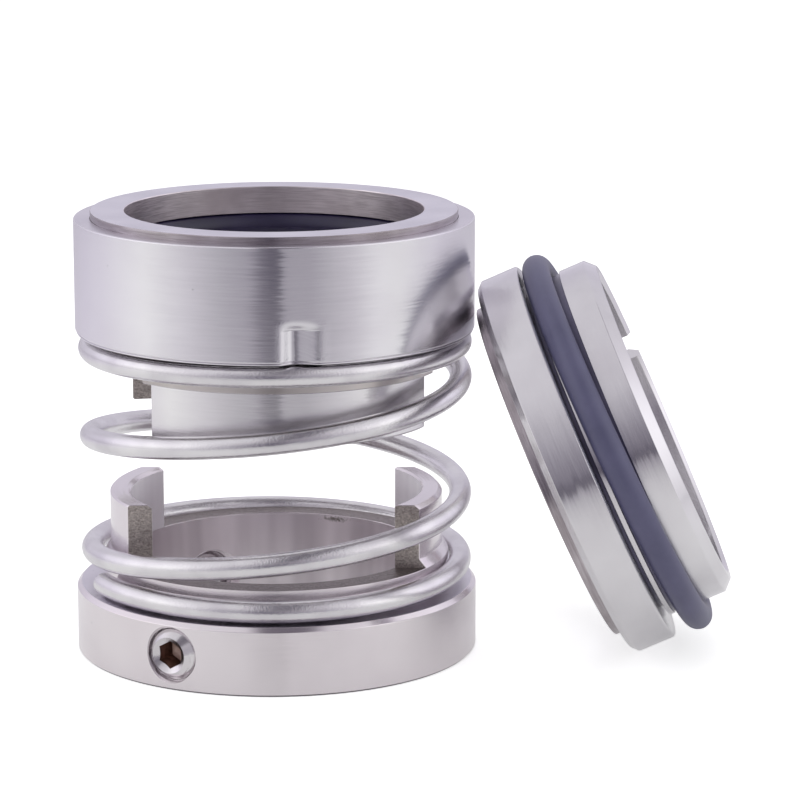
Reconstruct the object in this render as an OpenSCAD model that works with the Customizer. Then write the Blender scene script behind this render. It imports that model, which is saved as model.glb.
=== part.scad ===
// Component mechanical seal with a fork-driven single coil spring.
// Rotary unit: drive collar with two set screws, coil spring, push ring with fork fingers,
// shaft O-ring, ring carrier and face ring. Stationary unit: seat body, face ring and O-ring.
// Millimetres, +Z up the shaft. The origin is on the shaft axis at the collar's bottom face.

/* [Shaft] */
// Diameter of the shaft that the seal fits
shaft_d = 55; // [45.5:0.5:66]
// Radial clearance of the drive collar on the shaft
shaft_fit = 0.05; // [0.02:0.01:0.2]
// Radial clearance of the fork fingers and lugs round the shaft
fork_clear = 0.75; // [0.4:0.05:1.2]
// Radial clearance of the face rings round the shaft
face_clear = 1.25; // [0.8:0.05:1.6]

/* [Coil spring] */
// Wire diameter
wire_d = 4.3; // [3.5:0.05:5.2]
// Radial clearance between the coils and the collar's neck
coil_clear = 0.2; // [0.1:0.1:1]
// Height from the collar's spring seat to the push ring
spring_h = 49.3; // [41:0.1:60]
// Direction of the lower wire end, in degrees from +X
coil_start = 204; // [180:1:230]
// Direction of the upper wire end, in degrees from +X, turns included
coil_end = 1470; // [1440:1:1500]
// Direction at which the wire leaves the lower closed turn, in degrees
coil_lift = 554; // [520:1:590]
// Angle through which the wire climbs between the closed turns
coil_climb = 599; // [560:1:620]
// Direction from which the upper closed turn lies flat, in degrees
coil_flat = 1335; // [1290:1:1380]
// Half the angle over which the climb starts or ends
coil_blend = 40; // [20:1:60]
// Gap left between the wire and its seats
coil_seat_gap = 0.1; // [0.05:0.05:0.3]

/* [Drive collar] */
// Wall of the flange, from the shaft bore outwards
collar_wall = 11.4; // [10:0.1:14]
// Height of the flange, up to the spring seat
collar_h = 13.2; // [12.6:0.1:18]
// Chamfer on the flange's top edge
collar_edge = 0.8; // [0.3:0.1:1.2]
// Chamfer on the flange's bottom edge
base_edge = 0.35; // [0.1:0.05:0.8]
// Length of the shaft bore, below the part that widens to the bore of the lugs
bore_h = 9.6; // [8:0.1:12]
// Height of the neck above the spring seat
neck_h = 5.8; // [4.5:0.1:8]
// Radial step from the lugs out to the neck
neck_step = 1.2; // [0.6:0.1:2]
// Height of the cone between the neck and the drive lugs
lug_cone_h = 1.7; // [1:0.1:3]
// Wall of the drive lugs
lug_wall = 4.05; // [3:0.05:4.7]
// Height of the drive lugs above the slot floor
lug_h = 12.3; // [9:0.1:16]
// Width across a lug's two end faces
lug_w = 32.8; // [26:0.1:40]
// Chamfer on the lugs' top edges
lug_edge = 0.35; // [0.2:0.05:1]

/* [Set screws] */
// Thread diameter
screw_d = 10; // [8:1:10]
// Length of a screw
screw_len = 10; // [8:0.5:10]
// Chamfer on the screws' socket end
screw_edge = 0.75; // [0.3:0.05:1]
// Length of the tapered cup point
point_h = 2.25; // [1.5:0.05:3]
// Width of the hollow in the cup point
cup_d = 5; // [3:0.1:5]
// Width of the rim round that hollow
cup_rim = 0.25; // [0.1:0.05:0.4]
// Depth of the screw's socket end below the collar's rim
screw_sink = 0.7; // [0.2:0.1:2]
// Height of the screws above the collar's bottom face
screw_z = 6.3; // [6:0.1:7]
// Direction of the front screw, in degrees from +X
screw_turn = 241; // [220:1:260]
// Angle between the two screws
screw_spread = 120; // [90:1:180]
// Radial clearance of the thread
thread_gap = 0.05; // [0.02:0.01:0.1]
// Width of the hexagon socket across its flats
key_af = 5.05; // [3:0.05:5.05]
// Chamfer on the socket's mouth
key_edge = 0.3; // [0.1:0.05:0.4]
// Depth of the hexagon socket
key_depth = 4.5; // [3:0.1:6]
// Width of the countersink round each screw hole
countersink = 0.45; // [0.2:0.05:0.8]
// Depth of the countersink, from the flange's widest point
sink_h = 0.7; // [0.5:0.05:1.2]
// Chamfer round each hole's inner mouth
mouth_edge = 0.6; // [0.2:0.05:0.8]

/* [Push ring] */
// Turn of the push ring, carrier and crimps about the shaft, in degrees
head_turn = 10; // [0:0.5:12]
// Thickness of the push ring's flange
flange_t = 4; // [3:0.1:5]
// Length of the fork fingers below the flange
finger_l = 16.8; // [14:0.1:20]
// Wall of the fork fingers
finger_wall = 3.35; // [2.4:0.05:4.1]
// Clearance between a finger and a lug on each side, once they are in mesh
fork_play = 1.4; // [0.8:0.1:2.5]
// Height of the closed collar between the flange and the gap
finger_root = 3.2; // [2:0.1:5]
// Height of the nose that presses on the shaft O-ring
nose_h = 8.65; // [6:0.05:12]
// Radial clearance of the nose in the O-ring chamber
nose_gap = 0.1; // [0.05:0.05:0.3]
// Chamfer on the fingers' outer bottom edges
finger_edge = 0.4; // [0.2:0.05:1]
// Chamfer on the fingers' inner bottom edges
finger_inner_edge = 0.45; // [0.2:0.05:0.8]
// Height of the shoulder that centres the spring's upper end
pilot_h = 6.3; // [4.5:0.1:8]
// Radial clearance between that shoulder and the coils
pilot_clear = 0.75; // [0.4:0.05:1.1]

/* [Ring carrier] */
// Wall round the shaft O-ring
carrier_wall = 5.9; // [4.9:0.1:8]
// Depth of the pocket that holds the face ring
pocket_h = 4; // [3:0.1:5]
// Wall of the skirt round the push ring's flange
skirt_wall = 1.5; // [1:0.1:2]
// Height of the skirt's lower edge above the lower face of the push ring's flange
skirt_lift = 0.1; // [0:0.05:0.5]
// Free height above the push ring's flange
skirt_float = 2; // [1:0.1:4]
// Radial clearance of the flange in the skirt
skirt_gap = 0.3; // [0.1:0.05:0.6]
// Chamfer on the carrier's bottom edge
carrier_edge = 0.4; // [0.2:0.05:0.8]
// Chamfer on the carrier's top edge
carrier_top_edge = 0.2; // [0.1:0.05:0.6]

/* [Crimps] */
// Depth of each crimp in the skirt
crimp_depth = 2; // [1.5:0.1:2.8]
// Radius of the crimp's hollow
crimp_r = 3; // [2:0.05:3.2]
// Radius that blends the crimp into the skirt
crimp_blend = 3; // [1.8:0.1:3.2]
// Height of the crimp above the skirt's edge
crimp_h = 6.8; // [5:0.1:9]
// Height of the shallow fall above the crimp's square upper end
crimp_fall = 1.8; // [1:0.1:2.2]
// Clearance between the crimp and its notch in the push ring
crimp_gap = 0.3; // [0.2:0.05:0.5]

/* [Face rings] */
// Radial width of the rotary face ring
face_w = 6.55; // [5.4:0.05:7.9]
// Thickness of the rotary face ring
face_t = 5.4; // [4.6:0.1:7]
// Radial width of the stationary face ring
seat_face_w = 5.55; // [4.6:0.05:6.7]
// Thickness of the stationary face ring
seat_face_t = 5.9; // [4.4:0.1:7]
// Height of the stationary face ring above its body
seat_face_proud = 1.9; // [1:0.1:2.4]
// Radial gap of each face ring in its pocket
press_gap = 0.03; // [0.01:0.01:0.05]
// Chamfer on the face rings' edges
face_edge = 0.2; // [0.1:0.05:0.4]

/* [O-rings] */
// Section diameter of both O-rings
o_section = 5.3; // [4.4:0.05:6.4]
// Squeeze of the shaft O-ring on the shaft, per side
o_squeeze = 0.25; // [0.1:0.05:0.3]
// Gap between an O-ring and the faces round it
o_gap = 0.05; // [0.02:0.01:0.1]

/* [Seat] */
// Radial clearance of the seat's waist round the shaft
waist_clear = 2.1; // [1.7:0.05:2.6]
// Radial step from the waist out to the counterbore in the rear rim
waist_step = 1.4; // [0.8:0.1:2]
// Depth of the counterbore
rear_bore_h = 9; // [6:0.1:12]
// Chamfer on the mouth of the counterbore
rear_mouth = 0.7; // [0.3:0.1:1.2]
// Wall of the seat's body round the counterbore
rim_wall = 3.8; // [3.1:0.05:4.8]
// Radial step from the body out to the flange
flange_step = 4.2; // [3.5:0.05:5.1]
// Thickness of the seat's flange
seat_flange_t = 8.6; // [7:0.1:11]
// Chamfer on the flange's front edge
seat_front_edge = 1.15; // [0.6:0.05:2]
// Chamfer on the flange's rear edge
seat_back_edge = 0.4; // [0.2:0.05:0.8]
// Length of the seat, from the flange's front to the rear rim
seat_l = 22.7; // [20:0.1:27]
// Chamfer on the rear rim
seat_rear_edge = 1.9; // [1:0.1:2.4]
// Width of the relief groove behind the flange
relief_w = 0.7; // [0.5:0.1:1.4]
// Depth of the relief groove
relief_depth = 2.2; // [0.5:0.1:2.6]
// Depth of the groove that holds the seat's O-ring
seat_groove = 0.45; // [0.3:0.05:1]
// Width of the land in front of the O-ring
land_w = 1; // [0.5:0.1:1.5]
// Width of the notch for the anti-rotation pin
notch_w = 5.3; // [3:0.1:6]
// Depth of the notch
notch_h = 5; // [3:0.1:6]
// Direction of the notch about the seat's axis, in degrees
notch_turn = 110; // [0:1:359]

/* [Seat placing] */
// Angle of the seat's axis above the horizontal, as it leans on the carrier
seat_lean = 24; // [18:0.5:30]
// Direction in which the seat stands, in degrees from +X
seat_side = -1.3; // [-10:0.1:10]
// Gap between the leaning seat and the carrier
lean_gap = 0.3; // [0.2:0.05:0.6]

/* [Hidden] */
$fn = 96;
// Overrun of cutting shapes past the face that they cut
over = 1;

// Radii of the drive collar
shaft_r = shaft_d / 2;
bore_r = shaft_r + shaft_fit;
collar_r = bore_r + collar_wall;
fork_r = shaft_r + fork_clear;
lug_r = fork_r + lug_wall;
slot_floor = collar_h + neck_h;

// The spring's centre line runs clear of the neck, and the neck locates the lowest turn.
neck_r = lug_r + neck_step;
coil_r = neck_r + coil_clear + wire_d / 2;

// Closed end turns rise one wire diameter a turn, and the last part of the upper one lies flat.
coil_settle = coil_lift + coil_climb;
coil_foot_z = collar_h + coil_seat_gap + wire_d / 2;
coil_rise = spring_h - 2 * coil_seat_gap - wire_d;
closed_rise = wire_d * (coil_flat - coil_start) / 360;
active_rise = coil_rise - closed_rise;

// Rings along the wire stand this many degrees apart, each with this many corners.
ring_step = 7.5;
ring_sides = 16;

// Heights of the push ring, carrier and face ring
flange_z = collar_h + spring_h;
flange_top = flange_z + flange_t;
nose_top = flange_top + nose_h;
face_z = nose_top + o_section + 2 * o_gap;
carrier_z = flange_z + skirt_lift;
carrier_top = face_z + pocket_h;
ceiling_z = flange_top + skirt_float;

// Radii of the carrier and what it holds, from the shaft outwards
o_inner_r = shaft_r - o_squeeze;
o_centre_r = o_inner_r + o_section / 2;
chamber_r = o_inner_r + o_section + o_gap;
carrier_r = chamber_r + carrier_wall;
skirt_r = carrier_r - skirt_wall;
flange_r = skirt_r - skirt_gap;
nose_r = chamber_r - nose_gap;
finger_r = fork_r + finger_wall;
pilot_r = coil_r - wire_d / 2 - pilot_clear;
finger_gap = lug_w + 2 * fork_play;
face_bore_r = shaft_r + face_clear;
face_r = face_bore_r + face_w;
seat_face_r = face_bore_r + seat_face_w;

// Plan of a crimp: a round hollow that two rounded edges blend into the skirt
crimp_y = carrier_r - crimp_depth + crimp_r;
blend_y = carrier_r - crimp_blend;
crimp_half = acos((blend_y * blend_y + crimp_y * crimp_y
    - (crimp_r + crimp_blend) * (crimp_r + crimp_blend)) / (2 * blend_y * crimp_y));
fall_r = (carrier_r + crimp_blend) * sin(crimp_half);

// Radii of the seat, from the shaft outwards
waist_r = shaft_r + waist_clear;
rear_bore_r = waist_r + waist_step;
seat_body_r = rear_bore_r + rim_wall;
seat_r = seat_body_r + flange_step;
groove_r = seat_body_r - seat_groove;
seat_o_r = groove_r + o_gap + o_section / 2;

// Places along the seat's own axis, from the flange's front face
seat_pocket = seat_face_t - seat_face_proud;
groove_start = seat_flange_t + relief_w + land_w;
groove_w = o_section + 2 * o_gap;

// The seat stands on its flange's front edge. Its face ring or its flange leans on the carrier.
seat_lift = seat_r * cos(seat_lean) - seat_front_edge * sin(seat_lean);
seat_out = carrier_r + lean_gap + max(
    seat_face_proud * cos(seat_lean) + seat_face_r * sin(seat_lean),
    (seat_r - seat_front_edge) * sin(seat_lean));

// Smooth ramp: 0 well before x = 0, and x well after it
function ramp(x) = x <= -coil_blend ? 0
    : x >= coil_blend ? x
    : (x + coil_blend) * (x + coil_blend) / (4 * coil_blend);

// Slope of that ramp
function ramp_slope(x) = x <= -coil_blend ? 0
    : x >= coil_blend ? 1
    : (x + coil_blend) / (2 * coil_blend);

// Height of the spring's centre line at the angle a
function coil_z(a) = coil_foot_z
    + wire_d * (a - coil_start - ramp(a - coil_flat)) / 360
    + active_rise * (ramp(a - coil_lift) - ramp(a - coil_settle)) / (coil_settle - coil_lift);

// Tilt of the spring's centre line at the angle a
function coil_tilt(a) = atan((wire_d * (1 - ramp_slope(a - coil_flat)) / 360
    + active_rise * (ramp_slope(a - coil_lift) - ramp_slope(a - coil_settle))
    / (coil_settle - coil_lift)) * 180 / (PI * coil_r));

// Point on the wire's skin: q goes round the wire
function wire_point(a, q, r) = [
    cos(a) * (coil_r + r * cos(q)) + sin(a) * sin(coil_tilt(a)) * r * sin(q),
    sin(a) * (coil_r + r * cos(q)) - cos(a) * sin(coil_tilt(a)) * r * sin(q),
    coil_z(a) + cos(coil_tilt(a)) * r * sin(q)];

// Half-outline of the collar: flange, neck and the tube that the lugs are cut from
module collar_profile() {
    lug_top = slot_floor + lug_h;
    polygon([
        [bore_r, 0],
        [collar_r - base_edge, 0],
        [collar_r, base_edge],
        [collar_r, collar_h - collar_edge],
        [collar_r - collar_edge, collar_h],
        [neck_r, collar_h],
        [neck_r, slot_floor],
        [lug_r, slot_floor + lug_cone_h],
        [lug_r, lug_top - lug_edge],
        [lug_r - lug_edge, lug_top],
        [fork_r + lug_edge, lug_top],
        [fork_r, lug_top - lug_edge],
        [fork_r, slot_floor],
        [bore_r, bore_h]]);
}

// Threaded hole along +X, with a countersink and a chamfered inner mouth
module screw_hole() {
    hole_r = screw_d / 2 + thread_gap;
    rotate([0, 90, 0]) cylinder(r = hole_r, h = collar_r + over);
    rotate([0, 90, 0]) translate([0, 0, collar_r - sink_h])
        cylinder(r1 = hole_r, r2 = hole_r + 2 * countersink, h = 2 * sink_h);
    rotate([0, 90, 0]) translate([0, 0, bore_r - mouth_edge])
        cylinder(r1 = hole_r + 2 * mouth_edge, r2 = hole_r, h = 2 * mouth_edge);
}

module drive_collar() {
    color("lightgray") difference() {
        rotate_extrude() collar_profile();
        for (side = [0, 180])
            rotate(side) translate([-collar_r, lug_w / 2, slot_floor])
                cube([2 * collar_r, collar_r, lug_h + over]);
        for (turn = [screw_turn, screw_turn - screw_spread])
            rotate(turn) translate([0, 0, screw_z]) screw_hole();
    }
}

// Set screw along +X, with its socket outwards and a cup point
module set_screw() {
    outer = collar_r - screw_sink;
    tip = outer - screw_len;
    r = screw_d / 2;
    key_r = key_af / 2 / cos(30);
    rotate([0, 90, 0]) difference() {
        rotate_extrude() polygon([
            [0, tip],
            [cup_d / 2 + cup_rim, tip],
            [r, tip + point_h],
            [r, outer - screw_edge],
            [r - screw_edge, outer],
            [0, outer]]);
        translate([0, 0, outer - key_depth])
            cylinder(r = key_r, h = key_depth + over, $fn = 6);
        translate([0, 0, outer - key_edge])
            cylinder(r1 = key_r, r2 = key_r + 2 * key_edge, h = 2 * key_edge);
        translate([0, 0, tip - over])
            cylinder(r1 = cup_d / 2 + over, r2 = 0, h = cup_d / 2 + over);
    }
}

module set_screw_front() {
    color("silver") rotate(screw_turn) translate([0, 0, screw_z]) set_screw();
}

module set_screw_back() {
    color("silver") rotate(screw_turn - screw_spread) translate([0, 0, screw_z]) set_screw();
}

// Round wire swept along the coil, ring by ring
module coil_spring() {
    rings = ceil((coil_end - coil_start) / ring_step);
    turn = (coil_end - coil_start) / rings;
    around = 360 / ring_sides;
    skin = [for (i = [0:rings]) for (k = [0:ring_sides - 1])
        wire_point(coil_start + i * turn, k * around, wire_d / 2)];
    sides = [for (i = [0:rings - 1]) for (k = [0:ring_sides - 1])
        let (n = (k + 1) % ring_sides)
        [i * ring_sides + k, i * ring_sides + n,
            (i + 1) * ring_sides + n, (i + 1) * ring_sides + k]];
    foot = [for (k = [0:ring_sides - 1]) ring_sides - 1 - k];
    head = [for (k = [0:ring_sides - 1]) rings * ring_sides + k];
    color("gainsboro") polyhedron(skin, concat([foot], sides, [head]), 4);
}

// Half-outline of the push ring: fork tube, spring shoulder, flange and nose
module push_profile() {
    foot = flange_z - finger_l;
    polygon([
        [fork_r + finger_inner_edge, foot],
        [finger_r - finger_edge, foot],
        [finger_r, foot + finger_edge],
        [finger_r, flange_z - pilot_h],
        [pilot_r, flange_z - pilot_h],
        [pilot_r, flange_z],
        [flange_r, flange_z],
        [flange_r, flange_top],
        [nose_r, flange_top],
        [nose_r, nose_top],
        [fork_r, nose_top],
        [fork_r, foot + finger_inner_edge]]);
}

// Plan of a crimp's hollow, facing -Y
module crimp_plan() {
    edge_x = blend_y * sin(crimp_half);
    edge_y = -blend_y * cos(crimp_half);
    reach = (carrier_r + over) / blend_y;
    difference() {
        union() {
            translate([0, -crimp_y]) circle(r = crimp_r);
            polygon([
                [0, -crimp_y],
                [-edge_x, edge_y],
                [-edge_x * reach, edge_y * reach],
                [edge_x * reach, edge_y * reach],
                [edge_x, edge_y]]);
        }
        for (side = [-1, 1])
            translate([side * edge_x, edge_y]) circle(r = crimp_blend);
    }
}

// Fall of the skirt's face towards a crimp's upper end: a dish with a rounded edge
module crimp_dish() {
    rotate([-90, 0, 0]) rotate_extrude() difference() {
        translate([0, -over]) square([fall_r, crimp_blend + over]);
        translate([fall_r, crimp_blend]) circle(r = crimp_blend);
    }
}

// The two crimps and their notches sit opposite each other, in line with the fingers.
module crimp_pair() {
    for (side = [0, 180])
        rotate(side) children();
}

module push_ring() {
    color("lightgray") rotate(head_turn) difference() {
        rotate_extrude() push_profile();
        translate([-collar_r, -finger_gap / 2, flange_z - finger_l - over])
            cube([2 * collar_r, finger_gap, finger_l - finger_root + over]);
        crimp_pair()
            translate([0, -crimp_y, flange_z - over])
                cylinder(r = crimp_r + skirt_wall + crimp_gap, h = flange_t + 2 * over);
    }
}

module shaft_o_ring() {
    color("dimgray") translate([0, 0, nose_top + o_gap + o_section / 2])
        rotate_extrude() translate([o_centre_r, 0]) circle(d = o_section);
}

// Half-outline of the carrier: skirt, O-ring chamber and face ring pocket
module carrier_profile() {
    pocket_r = face_r + press_gap;
    polygon([
        [skirt_r, carrier_z],
        [carrier_r - carrier_edge, carrier_z],
        [carrier_r, carrier_z + carrier_edge],
        [carrier_r, carrier_top - carrier_top_edge],
        [carrier_r - carrier_top_edge, carrier_top],
        [pocket_r, carrier_top],
        [pocket_r, face_z],
        [chamber_r, face_z],
        [chamber_r, ceiling_z],
        [skirt_r, ceiling_z]]);
}

module ring_carrier() {
    crimp_top = carrier_z + crimp_h;
    color("lightgray") rotate(head_turn) difference() {
        union() {
            rotate_extrude() carrier_profile();
            crimp_pair()
                translate([0, 0, carrier_z]) linear_extrude(ceiling_z - carrier_z + over / 2)
                    intersection() {
                        translate([0, -crimp_y]) circle(r = crimp_r + skirt_wall);
                        circle(r = skirt_r + skirt_wall / 2);
                    }
        }
        crimp_pair()
            translate([0, 0, carrier_z - over]) linear_extrude(crimp_h + over) crimp_plan();
        crimp_pair() intersection() {
            translate([0, -carrier_r, crimp_top + crimp_fall - fall_r]) crimp_dish();
            translate([-fall_r, -carrier_r - over, crimp_top])
                cube([2 * fall_r, crimp_blend + 2 * over, fall_r]);
        }
    }
}

// Flat ring with small chamfers, standing on z = 0
module lapped_ring(outer_r, inner_r, t) {
    rotate_extrude() polygon([
        [inner_r + face_edge, 0],
        [outer_r - face_edge, 0],
        [outer_r, face_edge],
        [outer_r, t - face_edge],
        [outer_r - face_edge, t],
        [inner_r + face_edge, t],
        [inner_r, t - face_edge],
        [inner_r, face_edge]]);
}

module face_ring() {
    color("darkgray") translate([0, 0, face_z]) lapped_ring(face_r, face_bore_r, face_t);
}

// Brings a seat piece from its own axis, front face down, to where it leans
module lean() {
    rotate(seat_side) translate([seat_out, 0, seat_lift]) rotate([0, 90 - seat_lean, 0])
        children();
}

// Half-outline of the seat's body: flange, relief, land, O-ring groove and rear rim
module seat_profile() {
    relief_r = seat_body_r - relief_depth;
    land_start = seat_flange_t + relief_w;
    pocket_r = seat_face_r + press_gap;
    polygon([
        [pocket_r, 0],
        [seat_r - seat_front_edge, 0],
        [seat_r, seat_front_edge],
        [seat_r, seat_flange_t - seat_back_edge],
        [seat_r - seat_back_edge, seat_flange_t],
        [relief_r, seat_flange_t],
        [relief_r, land_start],
        [seat_body_r, land_start],
        [seat_body_r, groove_start],
        [groove_r, groove_start],
        [groove_r, groove_start + groove_w],
        [seat_body_r, groove_start + groove_w],
        [seat_body_r, seat_l - seat_rear_edge],
        [seat_body_r - seat_rear_edge, seat_l],
        [rear_bore_r + rear_mouth, seat_l],
        [rear_bore_r, seat_l - rear_mouth],
        [rear_bore_r, seat_l - rear_bore_h],
        [waist_r, seat_l - rear_bore_h],
        [waist_r, seat_pocket],
        [pocket_r, seat_pocket]]);
}

module seat_body() {
    color("lightgray") lean() difference() {
        rotate_extrude() seat_profile();
        rotate(notch_turn) translate([waist_r, -notch_w / 2, seat_l - notch_h])
            cube([seat_r, notch_w, notch_h + over]);
    }
}

module seat_face_ring() {
    color("darkgray") lean() translate([0, 0, -seat_face_proud])
        lapped_ring(seat_face_r, face_bore_r, seat_face_t);
}

module seat_o_ring() {
    color("slategray") lean() translate([0, 0, groove_start + groove_w / 2])
        rotate_extrude() translate([seat_o_r, 0]) circle(d = o_section);
}

drive_collar();
set_screw_front();
set_screw_back();
coil_spring();
push_ring();
shaft_o_ring();
ring_carrier();
face_ring();
seat_body();
seat_face_ring();
seat_o_ring();
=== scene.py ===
# Component mechanical seal: a fork-driven rotary unit with its loose seat leaning on it.
# Every piece is made from its own outline, in millimetres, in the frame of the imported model.
import math

import bmesh
import bpy
from mathutils import Matrix, Vector


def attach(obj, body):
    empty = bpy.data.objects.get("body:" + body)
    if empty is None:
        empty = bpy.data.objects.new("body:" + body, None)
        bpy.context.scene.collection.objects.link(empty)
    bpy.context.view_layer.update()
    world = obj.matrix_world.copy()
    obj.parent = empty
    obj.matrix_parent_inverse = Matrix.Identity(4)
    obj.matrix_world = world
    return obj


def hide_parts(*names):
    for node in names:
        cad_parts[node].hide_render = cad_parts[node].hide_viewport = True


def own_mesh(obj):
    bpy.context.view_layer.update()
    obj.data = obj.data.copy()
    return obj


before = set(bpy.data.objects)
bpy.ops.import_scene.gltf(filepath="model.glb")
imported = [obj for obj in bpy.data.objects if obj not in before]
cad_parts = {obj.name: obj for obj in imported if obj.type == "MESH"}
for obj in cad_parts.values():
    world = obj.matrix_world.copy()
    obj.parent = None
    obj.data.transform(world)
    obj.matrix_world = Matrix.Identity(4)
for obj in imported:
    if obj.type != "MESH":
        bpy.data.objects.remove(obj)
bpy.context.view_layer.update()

MM = 0.001
TAU = 2 * math.pi
AXIS = 0.001        # radius at which an outline counts as closed on its axis

# Sizes are in millimetres and turns in degrees, and each _R is a radius. Most are those of the
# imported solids. The screws, the crimps and the lowest turn of the spring follow the photograph.

# Drive collar: bore, flange, neck, and the fork's slots and lugs
BORE_R, BORE_TOP, FORK_R = 27.55, 9.6, 28.25
COLLAR_R, COLLAR_H, NECK_R = 38.95, 13.2, 33.5
FOOT_EDGE, RIM_EDGE = 0.35, 0.8
SLOT_FLOOR, LUG_R, LUG_TOP, LUG_HALF = 19.0, 32.3, 31.3, 16.4
LUG_ROOT, LUG_FOOT = 18.0, 20.7

# Set screws, which lie along a radius, and their tapped holes with an open mouth at both ends
SCREW_TURNS = {"front": 241.0, "back": 121.0}
SCREW_Z, SCREW_R, SCREW_TIP, SCREW_END = 6.8, 5.0, 28.25, 39.5
SCREW_TIP_R, SCREW_FACE_R, CUP_R, CUP_DEPTH = 2.75, 3.45, 3.5, 2.5
SOCKET_FLAT, SOCKET_DEPTH, SOCKET_POINT, MOUTH_DEPTH = 4.67, 5.1, 1.1, 0.82
HOLE_R, HOLE_START, HOLE_END = 5.05, 22.0, 39.6
OUTER_MOUTH = ((HOLE_R, 38.25), (5.95, 39.65))
INNER_MOUTH = ((7.0, 26.2), (HOLE_R, 28.15))
THREAD_PITCH, SCREW_THREAD, HOLE_THREAD = 1.5, 0.75, 0.5

# Coil spring, in degrees along the wire: its turns climb by one wire each up to LEVEL, and the
# free ones climb faster, from LIFT_OFF to LANDING
SPRING_H, STROKE, WIRE, COIL_R, SPRING_GAP, SPRING_SAG = 49.3, 22, 4.3, 35.85, 0.1, 0.85
WIRE_START, LIFT_OFF, LANDING, LEVEL, WIRE_END = 204.0, 554.0, 1153.0, 1335.0, 1470.0
SPRING_BLEND = 40.0

# Push ring: flange, two fingers, pilot inside the spring, nose on the O-ring, two notches
FLANGE_Z, FLANGE_TOP, FLANGE_R, HEAD_TURN = 62.5, 66.5, 36.7, 10.0
FINGER_FOOT, FINGER_R, FINGER_HALF, FINGER_CEILING, FINGER_ROOT = 45.7, 31.6, 17.8, 59.3, 61
PILOT_R, PILOT_Z, NOSE_R, NOSE_TOP = 32.95, 56.2, 32.5, 75.15
NOTCH_R, NOTCH_OUT = 5.0, 39.5

# Ring carrier with two crimps in its skirt, whose places are in radians, and the face ring
CARRIER_R, CARRIER_Z, CARRIER_TOP, SKIRT_R, SKIRT_CEILING = 38.5, 62.6, 84.55, 37.0, 68.5
CRIMPS = (-math.pi / 2 - 0.0117, math.pi / 2 - 0.0117)
CREASE_Z, CRIMP_TOP, CRIMP_HALF = 69.05, 73, math.radians(8.8)
CHAMBER_R, POCKET_R, FACE_Z, FACE_TOP = 32.6, 35.33, 80.55, 85.95
FACE_BORE_R, FACE_R = 28.75, 35.3

# O-rings: section, and the inner radius and height of each
O_SECTION, SHAFT_O_R, SHAFT_O_Z, SEAT_O_R, SEAT_O_Z, SEAT_O_TILT = 5.3, 27.25, 77.85, 34.4, 13, -1.8

# Seat, measured from its contact face: flange, relief, O-ring groove, mouth and notch at the back
SEAT_R, SEAT_FLANGE, SEAT_BODY_R, SEAT_LENGTH = 39.0, 8.6, 34.8, 22.7
SEAT_FACE_R, SEAT_PROUD, SEAT_POCKET, SEAT_BORE_R = 34.3, 1.9, 4.0, 29.6
RELIEF_R, RELIEF_END, GROOVE_R, GROOVE_START, GROOVE_END = 32.6, 9.3, 34.35, 10.3, 15.7
MOUTH_R, MOUTH_FLOOR = 31.0, 13.7
SEAT_NOTCH_TURN, SEAT_NOTCH_HALF, SEAT_NOTCH_FLOOR = 110, 2.65, 17.7
SEAT_OUT, SEAT_LIFT, SEAT_LEAN, SEAT_SIDE = 54.4868, 35.1605, 24.0, -1.3


# Outlines

def eased(corners, steps=4):
    """Outline of (r, z, ease) corners, each ease a small radius, as a list of (r, z)."""
    points = []
    for i, (r, z, ease) in enumerate(corners):
        here = Vector((r, z))
        if not ease:
            points.append((r, z))
            continue
        back = Vector(corners[i - 1][:2]) - here
        ahead = Vector(corners[(i + 1) % len(corners)][:2]) - here
        half = back.angle(ahead) / 2
        run = ease / math.tan(half)
        start, end = here + back.normalized() * run, here + ahead.normalized() * run
        centre = here + (back.normalized() + ahead.normalized()).normalized() * ease / math.sin(half)
        a, b = start - centre, end - centre
        sweep = a.angle(b)
        for k in range(steps + 1):
            t = k / steps
            arm = (a * math.sin((1 - t) * sweep) + b * math.sin(t * sweep)) / math.sin(sweep)
            points.append(tuple(centre + arm))
    return points


def ring_section(radius, height, section, flash=0.0, sides=64):
    """Round section of an O-ring, with a low moulding flash at its widest and narrowest place."""
    flash_spread, points = 0.045, []
    for k in range(sides):
        a = TAU * k / sides
        swell = flash * math.exp(-((math.sin(a) / flash_spread) ** 2))
        points.append((radius + (section / 2 + swell) * math.cos(a), height + section / 2 * math.sin(a)))
    return points


def flat_ring(outer, inner, low, high):
    """Section of a ring with square, lightly broken edges."""
    return eased([(inner, low, 0.2), (outer, low, 0.2), (outer, high, 0.18), (inner, high, 0.22)])


def inset(outline, depth):
    """The closed outline, moved inwards."""
    if not depth:
        return list(outline)
    count, moved = len(outline), []
    for i in range(count):
        a, b, c = (Vector(outline[(i + k) % count]) for k in (-1, 0, 1))
        one, two = (b - a).normalized(), (c - b).normalized()
        normal = Vector((-one.y - two.y, one.x + two.x)).normalized()
        moved.append(tuple(b + normal * depth / max(0.5, normal.dot(Vector((-one.y, one.x))))))
    return moved


def gentle(x):
    """Smooth step from 0 to 1."""
    x = min(1.0, max(0.0, x))
    return x * x * (3 - 2 * x)


# Meshes

def piece_of(name, points, faces, place=None):
    """New object from points in millimetres, its outside facing out."""
    mesh = bpy.data.meshes.new(name)
    mesh.from_pydata([Vector(p) * MM for p in points], [], faces)
    work = bmesh.new()
    work.from_mesh(mesh)
    bmesh.ops.recalc_face_normals(work, faces=work.faces)
    work.to_mesh(mesh)
    work.free()
    piece = bpy.data.objects.new(name, mesh)
    bpy.context.scene.collection.objects.link(piece)
    if place is not None:
        piece.matrix_world = place
    return piece


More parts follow.
